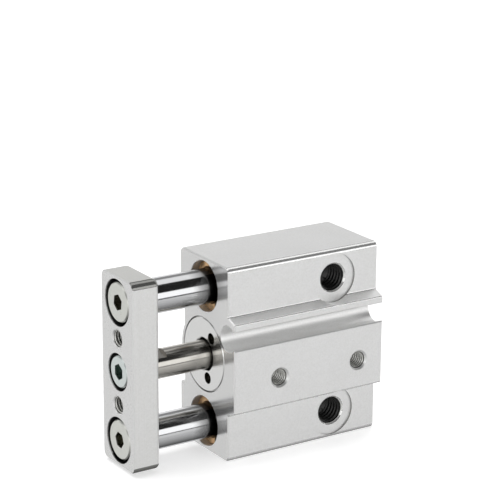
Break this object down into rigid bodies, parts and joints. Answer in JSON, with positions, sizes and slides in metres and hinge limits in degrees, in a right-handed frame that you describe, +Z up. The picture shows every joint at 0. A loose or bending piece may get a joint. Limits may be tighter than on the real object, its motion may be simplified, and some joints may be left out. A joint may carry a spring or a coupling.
{
  "type": "guided pneumatic cylinder",
  "caption": "Compact guided pneumatic cylinder: block body with air ports and a sensor groove, a piston rod between guide rods, and an end plate.",
  "frame": {"origin": "on the cylinder axis, in the plane of the body's rod-end face", "axes": "+X out of the rod end along the stroke, +Y to the side with the air ports, +Z up"},
  "size_m": [0.0465, 0.0173, 0.034],
  "materials": {
    "body_aluminium": "satin anodised, fine grain",
    "cover_aluminium": "turned and clear anodised",
    "plate_aluminium": "satin anodised",
    "piston_aluminium": "turned",
    "guide_rod_chrome": "hard chromed and ground",
    "piston_rod_steel": "ground stainless steel",
    "bush_bronze": "oil-filled sintered bronze",
    "seal_rubber": "nitrile rubber",
    "bumper_rubber": "urethane rubber",
    "magnet": "bonded magnet",
    "guide_screw_steel": "nickel plated",
    "rod_screw_steel": "zinc plated, blue-green passivate",
    "ring_steel": "phosphated spring steel"
  },
  "bodies": {
    "housing": {"body": "body_aluminium", "rod_cover": "cover_aluminium", "rod_cover_oring": "seal_rubber", "rod_seal": "seal_rubber", "rod_bush": "bush_bronze", "front_bumper": "bumper_rubber", "rear_bumper": "bumper_rubber", "head_cover": "cover_aluminium", "head_cover_oring": "seal_rubber", "retaining_ring": "ring_steel", "guide_bush_top": "bush_bronze", "guide_bush_bottom": "bush_bronze"},
    "slide": {"plate": "plate_aluminium", "piston_rod": "piston_rod_steel", "piston_front": "piston_aluminium", "piston_seal": "seal_rubber", "piston_magnet": "magnet", "piston_rear": "piston_aluminium", "rod_screw": "rod_screw_steel", "guide_rod_top": "guide_rod_chrome", "guide_rod_bottom": "guide_rod_chrome", "guide_screw_top": "guide_screw_steel", "guide_screw_bottom": "guide_screw_steel"}
  },
  "joints": [
    {"name": "stroke", "type": "slide", "parent": "housing", "child": "slide", "axis": [1, 0, 0], "range_m": [-0.01, 0]}
  ]
}
